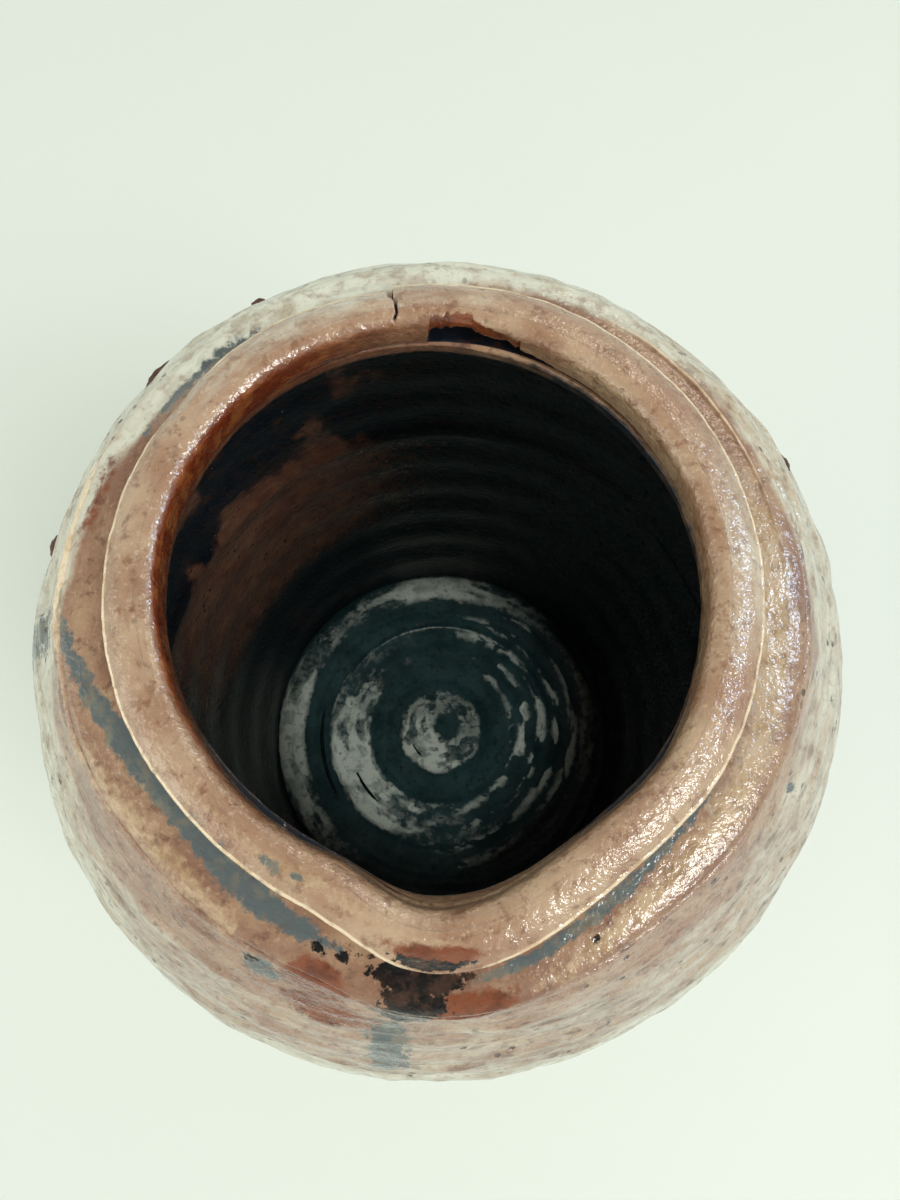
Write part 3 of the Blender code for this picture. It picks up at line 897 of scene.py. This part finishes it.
class BOTTLE_OT_rolled_rim(bpy.types.Operator):
    """Rolled rim with its ledge, pouring lip, drying crack and open fold."""

    bl_idname = "bottle.rolled_rim"
    bl_label = "Rolled Rim"

    def execute(self, context):
        sizes = context.scene.bottle_sizes
        angles = around(760, dense_at=176.0, dense_width=16.0, dense_gain=2.2)
        turning = Turning(spaced(softened(rim_profile(), 2), 118), angles)
        angle = turning.angle
        band = smooth(CREST - 1.0 * MM, CREST + 1.0 * MM, turning.radius)
        band = band * smooth(LEDGE - 0.5 * MM, LEDGE, turning.height)
        marks = {key: mask * band for key, mask in shoulder_marks(turning).items()}
        off_ledge = np.hypot(turning.radius - LIP_RADIUS - 0.1 * MM, turning.height - SHARP_LEDGE + 0.1 * MM)
        ledge_near = hump(off_ledge, 0.0, 0.34 * MM)
        turning.swell(0.12 * MM * ledge_near)
        facing_in = smooth(-0.35, -1.0, turning.normal_out)
        marks["ember"] = facing_in * bump(angle, -105.0, 80.0)
        # Pale ash tone on the band: real ash at the far left, and painted window sheen on the right.
        marks["veil"] = 0.42 * band * strongest(bump(angle, -158.0, 34.0), bump(angle, 95.0, 24.0))
        worn = bump(angle, WORN_ANGLE, 9.0)
        # A cream line along the sharp ledge: paler glaze breaking over the edge, and painted highlight.
        marks["edge"] = 1.05 * ledge_near * (1.0 - worn) * (1.0 - 0.8 * bump(angle, 3.0, 8.0))
        inner = smooth(CREST + 1.0 * MM, THROAT, turning.radius)
        pushed = 0.9 * bump(angle, -36.0, 20.0) + 0.6 * bump(angle, 48.0, 20.0)
        turning.radius = turning.radius + inner * MM * pushed
        ledge = smooth(LIP_RADIUS - 2.5 * MM, LIP_RADIUS, turning.radius)
        beyond = smooth(0.0, 1.0, turn_from(angle, CRACK_ANGLE)) * bump(angle, CRACK_ANGLE + 0.5, 14.0)
        turning.radius = turning.radius - ledge * MM * (0.5 * worn + 0.35 * beyond)
        turning.height = turning.height - ledge * MM * 0.45 * beyond
        lumps = fractal_noise(turning.points(), 4.0 * MM, 3, seed=17)
        peel = lattice_noise(turning.points(), 0.9 * MM, seed=19)
        wrinkles = np.stack([angle * 32.0 * MM, turning.along * 0.12, np.zeros_like(angle)], axis=-1)
        wrinkles = lattice_noise(wrinkles, 0.7 * MM, seed=23) * band
        wrinkles = wrinkles * strongest(bump(angle, -70.0, 35.0), 0.5 * bump(angle, -20.0, 15.0))
        turning.swell(0.09 * MM * lumps + 0.025 * MM * peel + 0.035 * MM * wrinkles)
        sunk, broken = self.open_fold(turning, sizes)
        # Painted shade in the open fold and down the crack.
        marks["soot_and_shade"] = 1.2 * strongest(sunk, self.crack(turning, sizes))
        marks["ember"] = marks["ember"] * (1.0 - broken)
        marks["bare"] = strongest(marks["bare"], 1.2 * broken)
        handmade(turning)
        pull_lip(turning, sizes.lip_reach)
        # Iron slip at its thickest, melted glossy on the fold: soft bumps that scatter small bright glints.
        glaze = fired_stoneware(
            "glossy_iron_slip_rim", ("9d785c", "b59778", "73492f", "d6bc9c"),
            shoulder_layers(context.scene.bottle_colours), (0.24, 0.40), 0.8, 0.24, (0.06, 0.35),
            streaks=0.10,
        )
        settle(skin("rolled_pouring_rim", turning, marks, glaze), ["rolled_rim"])
        return {"FINISHED"}

    def open_fold(self, turning, sizes):
        """Sink the inner wall above the seam as far up as the fold gapes, with a jagged upper edge."""
        gape = MM * np.interp(np.degrees(turning.angle) % 360.0, *np.transpose(FOLD_GAPE))
        jag = line_noise(turning.angle * THROAT, 1.1 * MM, 3, seed=29)
        top = SEAM + gape * (1.0 + 0.10 * jag)
        inner = smooth(0.1, -0.3, turning.normal_out) * (turning.radius < THROAT + 1.6 * MM)
        inner = inner * smooth(0.0, 0.25 * MM, gape)
        sunk = smooth(top + 0.10 * MM, top - 0.10 * MM, turning.height) * inner
        broken = smooth(top + 2.2 * MM, top + 1.0 * MM, turning.height) * inner * (gape > 1.4 * MM)
        broken = broken * (1.0 - sunk)
        turning.radius = turning.radius + sizes.seam_depth * sunk + 0.5 * MM * broken * (0.6 + 0.4 * jag)
        return sunk, broken

    def crack(self, turning, sizes):
        """A V-shaped cut along a jagged radial line, deepest at the ledge."""
        zigzag = 0.55 * MM * line_noise(turning.along, 1.6 * MM, 2, seed=31)
        aside = np.radians(turn_from(turning.angle, CRACK_ANGLE)) * turning.radius - zigzag
        across = smooth(THROAT + 0.3 * MM, THROAT + 1.0 * MM, turning.radius)
        across = across * smooth(SEAM + 1.0 * MM, LEDGE, turning.height)
        width = 0.5 * sizes.crack_width * (0.6 + 0.8 * smooth(CREST, LIP_RADIUS, turning.radius))
        cut = across * smooth(width, 0.4 * width, np.abs(aside))
        turning.swell(-1.8 * MM * cut)
        return cut


def floor_marks(turning, top):
    """Ash pooled on the boss, the crescent ring, the border and the combed right side, and dark grooves."""
    angle, radius = turning.angle, turning.radius / MM
    sweep = np.minimum(18.0, 1.5 * radius)
    ring_space = np.stack([sweep * np.sin(angle), -sweep * np.cos(angle), 1.8 * radius], axis=-1)
    blots = smooth(-0.30, 0.34, fractal_noise(ring_space, 4.0, 4, seed=47))
    points = turning.points() / MM
    off = np.hypot(points[..., 0] - 1.4, points[..., 1] - 1.2)
    boss = smooth(11.6, 9.4, radius) * smooth(1.6, 4.2, off) * (0.40 + 0.60 * bump(angle, -40.0, 75.0))
    left = bump(angle, -62.0, 62.0)
    crescent = smooth(17.2, 18.6, radius) * smooth(29.6, 27.4, radius) * (0.12 + 0.80 * left)
    far, near_right = 0.75 * bump(angle, 180.0, 48.0), 0.5 * bump(angle, 95.0, 40.0)
    border = strongest(bump(angle, -88.0, 46.0), far, near_right)
    border = smooth(33.0, 36.5, radius) * smooth(42.0, 40.2, radius) * border
    combed = 0.5 + 0.5 * np.cos(2.0 * pi * (radius / 4.2 + 0.35 * np.sin(angle * 2.0)))
    right = strongest(bump(angle, 84.0, 50.0), 0.7 * bump(angle, 150.0, 40.0), 0.6 * bump(angle, 20.0, 30.0))
    arcs = smooth(16.0, 19.0, radius) * smooth(38.0, 34.0, radius) * (0.25 + 0.75 * combed) * right
    thin = 0.55 * hump(radius, 27.2, 0.4) * bump(angle, 190.0, 60.0)
    ash = strongest((0.50 + 0.55 * blots) * strongest(boss, crescent, border), 0.95 * blots * arcs, thin)
    dark = strongest(
        hump(radius, 30.4, 0.5) * bump(angle, -78.0, 28.0),
        0.9 * hump(radius, 23.5, 0.5) * bump(angle, -52.0, 16.0),
        0.8 * hump(radius, 7.8, 0.4) * bump(angle, -50.0, 24.0),
    )
    return mark_set(turning, veil=top * ash, black=top * dark, bare=1.0 - top)


class BOTTLE_OT_base_slab(bpy.types.Operator):
    """Floor with finger rings and pooled ash, and the flat foot under it."""

    bl_idname = "bottle.base_slab"
    bl_label = "Base Slab"

    def execute(self, context):
        loop = spaced(slab_profile(), 230, closed=False, density=lambda p: 1.0 + 1.0 * (p[:, 1] > 6.0 * MM))
        turning = Turning(loop, around(400), closed=False)
        top = smooth(FLOOR - 2.0 * MM, FLOOR - 1.2 * MM, turning.height)
        top = top * (turning.radius < FLOOR_RADIUS + 1.0 * MM)
        marks = floor_marks(turning, top)
        radius = turning.radius / MM
        spiral = 0.18 * MM * np.cos(2.0 * pi * radius / 4.6 - turning.angle) * smooth(1.0, 5.0, radius)
        lumps = fractal_noise(turning.points(), 3.2 * MM, 3, seed=37)
        grooves = 0.5 * MM * smooth(0.3, 0.7, marks["black"])
        turning.swell(top * (spiral + 0.14 * MM * lumps - grooves))
        under = smooth(0.3, -0.3, turning.normal_up) * smooth(0.5, 3.0, radius)
        under = under * smooth(FOOT_RADIUS / MM - 2.0, FOOT_RADIUS / MM - 8.0, radius)
        grain = lattice_noise(turning.points(), 2.4 * MM, seed=41)
        turning.height = turning.height + under * 0.05 * MM * (1.0 + grain)
        # Stoneware fired without air, with wood ash pooled on it: dark teal clay with a dull satin skin, and
        # chalky grey where the ash lies thick.
        floor = fired_stoneware(
            "pooled_ash_on_dark_stoneware", ("1b2e2d", "2a3f3d", "0f1a1b", "3d4c48"),
            floor_layers(), (0.30, 0.50), 0.2, 0.20, (0.10, 0.6),
        )
        settle(skin("ringed_floor_and_foot", turning, marks, floor), ["base_slab"])
        return {"FINISHED"}


# Length round the pot, height above the clay and height of each grain, in the order of their nodes.
GRAIN_SIZES = np.array([(5.2, 1.0, 2.2), (1.9, 0.8, 1.4), (2.6, 0.7, 1.6), (2.4, 0.7, 1.4)]) * MM


class BOTTLE_OT_kiln_grit(bpy.types.Operator):
    """Burnt grains fused to the shoulder, one for each grain in the frame."""

    bl_idname = "bottle.kiln_grit"
    bl_label = "Kiln Grit"

    def execute(self, context):
        # Crumbs of kiln wall, burnt and half melted: dark, rough, and nearly without a glaze.
        burnt = fired_stoneware(
            "burnt_kiln_grit", ("4a2a20", "6b4233", "22120d", "7d5544"), [], (0.45, 0.7), 0.1, 0.3,
            (0.1, 0.6),
        )
        nodes = sorted(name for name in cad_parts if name.startswith("kiln_grit"))
        rows = np.linspace(0.06, pi - 0.06, 26)
        columns = np.linspace(0.0, 2.0 * pi, 44, endpoint=False)
        for number, node in enumerate(nodes):
            middle = 0.5 * (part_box(node)[0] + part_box(node)[1])
            length, proud, tall = GRAIN_SIZES[number]
            turning = Turning(np.stack([np.sin(rows), np.cos(rows)], axis=1), columns, closed=False)
            ball = turning.points()
            ball = ball * (1.0 + 0.30 * fractal_noise(ball + number * 5.0, 0.8, 3, seed=43))[..., None]
            level = middle.z + 0.5 * tall * ball[..., 2]
            round_pot = 0.5 * length * ball[..., 0] / wall_radius(middle.z)
            turning.angle = np.arctan2(middle.x, -middle.y) + round_pot
            turning.radius = wall_radius(level) + (0.9 * proud) * ball[..., 1]
            turning.height = level
            handmade(turning)
            piece = skin(f"burnt_grain_{number + 1}", turning, mark_set(turning), burnt)
            settle(piece, [node])
        return {"FINISHED"}


MIDDLE = (0.0, 0.0, 0.12)
FLOOR_MIDDLE = (0.0, 0.0, 0.0)

# Name, place, aim, size in metres, power in watts, colour, and the kind of ray that doesn't see it: a high
# window to the right and front, glints of it and of a doorway on the glaze, a pale wall, and a lamp above.
LAMPS = (
    ("window", (1.45, -1.02, 2.25), MIDDLE, (1.30, 1.30), 34.0, "f2f5ff", "visible_glossy"),
    ("window_glint", (1.30, -0.90, 1.40), MIDDLE, (0.66, 0.52), 27.0, "fbfcfa", "visible_diffuse"),
    ("pane_glint", (1.50, 0.42, 1.25), MIDDLE, (0.30, 0.55), 16.0, "c8e2ff", "visible_diffuse"),
    ("doorway_glint", (0.75, 1.15, 1.50), MIDDLE, (0.40, 0.40), 5.0, "fff6e6", "visible_diffuse"),
    ("left_wall", (-1.50, -0.55, 0.55), MIDDLE, (1.20, 0.90), 6.0, "f8f8ee", "visible_camera"),
    ("overhead", (0.05, -0.06, 1.25), FLOOR_MIDDLE, (0.14, 0.14), 6.5, "eef8ff", "visible_glossy"),
)


class BOTTLE_OT_stage(bpy.types.Operator):
    """Pale table, window light, soft light from above, sky and camera."""

    bl_idname = "bottle.stage"
    bl_label = "Studio Stage"

    def execute(self, context):
        self.table(context.scene.bottle_colours.paper)
        for lamp in LAMPS:
            self.area(*lamp)
        self.sky(context.scene)
        self.camera(context.scene)
        context.scene.view_settings.view_transform = "Standard"
        return {"FINISHED"}

    def table(self, colour):
        """A painted board, rolled on by hand: nearly white, matt, and very slightly clouded."""
        bpy.ops.mesh.primitive_plane_add(size=6.0)
        board = bpy.context.object
        board.name = "studio_table"
        paint = bpy.data.materials.new("pale_painted_board")
        paint.use_nodes = True
        tree = paint.node_tree
        shader = tree.nodes["Principled BSDF"]
        place = add_node(tree, "TexCoord", "Object")
        inputs = {"Vector": place, "Scale": 1.0 / (60.0 * MM), "Detail": 3.0}
        cloud = add_node(tree, "TexNoise", "Fac", inputs)
        darker = [0.985 * channel for channel in colour[:3]] + [1.0]
        tint = add_node(tree, "Mix", 2, {0: cloud, 6: list(colour), 7: darker}, data_type="RGBA")
        tree.links.new(tint, shader.inputs["Base Color"])
        shader.inputs["Roughness"].default_value = 0.6
        board.data.materials.append(paint)

    def area(self, name, place, aim, size, power, colour, reach):
        """A rectangular lamp that faces a point, without the kind of ray that reach names."""
        lamp = bpy.data.lights.new(name, "AREA")
        lamp.shape = "RECTANGLE"
        lamp.size, lamp.size_y = size
        lamp.energy = power
        lamp.color = linear(colour)[:3]
        holder = bpy.data.objects.new(name, lamp)
        holder.location = place
        holder.rotation_euler = (Vector(aim) - Vector(place)).to_track_quat("-Z", "Y").to_euler()
        setattr(holder, reach, False)
        bpy.context.scene.collection.objects.link(holder)

    def sky(self, scene):
        """A white room: bright near the horizon, dimmer straight above."""
        world = bpy.data.worlds.new("white_room")
        scene.world = world
        world.use_nodes = True
        tree = world.node_tree
        back = tree.nodes["Background"]
        upward = add_node(tree, "SeparateXYZ", "Z", {0: add_node(tree, "TexCoord", "Generated")})
        share = add_node(tree, "MapRange", "Result", {"Value": upward, "From Min": 0.25, "From Max": 0.95})
        tones = {0: share, 6: linear("f6f8ee"), 7: linear("83857f")}
        shade = add_node(tree, "Mix", 2, tones, data_type="RGBA")
        tree.links.new(shade, back.inputs["Color"])
        back.inputs["Strength"].default_value = 0.78

    def camera(self, scene):
        """A phone held over the pot, a little to the front, and tipped to look into it."""
        lens = bpy.data.cameras.new("camera")
        lens.lens = 27.0
        lens.sensor_width = 36.0
        lens.clip_start = 5.0 * MM
        holder = bpy.data.objects.new("camera", lens)
        right = Vector((0.9998567, 0.016332, 0.0044557))
        up = Vector((-0.0169289, 0.9646032, 0.2631619))
        turn = Matrix((right, up, right.cross(up))).transposed()
        holder.matrix_world = Matrix.Translation((1.75 * MM, -28.035 * MM, 238.09 * MM)) @ turn.to_4x4()
        scene.collection.objects.link(holder)
        scene.camera = holder


PIECES = (
    BOTTLE_OT_base_slab,
    BOTTLE_OT_body_wall,
    BOTTLE_OT_neck_collar,
    BOTTLE_OT_rolled_rim,
    BOTTLE_OT_kiln_grit,
    BOTTLE_OT_stage,
)


class BOTTLE_PT_panel(bpy.types.Panel):
    """Sidebar panel with the settings and one button for each piece."""

    bl_idname = "BOTTLE_PT_panel"
    bl_label = "Sake Bottle"
    bl_space_type = "VIEW_3D"
    bl_region_type = "UI"
    bl_category = "Sake Bottle"

    def draw(self, context):
        for group in (context.scene.bottle_sizes, context.scene.bottle_colours):
            for key in group.bl_rna.properties.keys():
                if key not in {"rna_type", "name"}:
                    self.layout.prop(group, key)
        for piece in PIECES:
            self.layout.operator(piece.bl_idname)


CLASSES = (BottleSizes, BottleColours, *PIECES, BOTTLE_PT_panel)


def register():
    for item in CLASSES:
        bpy.utils.register_class(item)
    bpy.types.Scene.bottle_sizes = bpy.props.PointerProperty(type=BottleSizes)
    bpy.types.Scene.bottle_colours = bpy.props.PointerProperty(type=BottleColours)


def unregister():
    del bpy.types.Scene.bottle_colours
    del bpy.types.Scene.bottle_sizes
    for item in reversed(CLASSES):
        bpy.utils.unregister_class(item)


def main():
    register()
    bpy.ops.bottle.base_slab()
    bpy.ops.bottle.body_wall()
    bpy.ops.bottle.neck_collar()
    bpy.ops.bottle.rolled_rim()
    bpy.ops.bottle.kiln_grit()
    bpy.ops.bottle.stage()


if __name__ == "__main__":
    main()
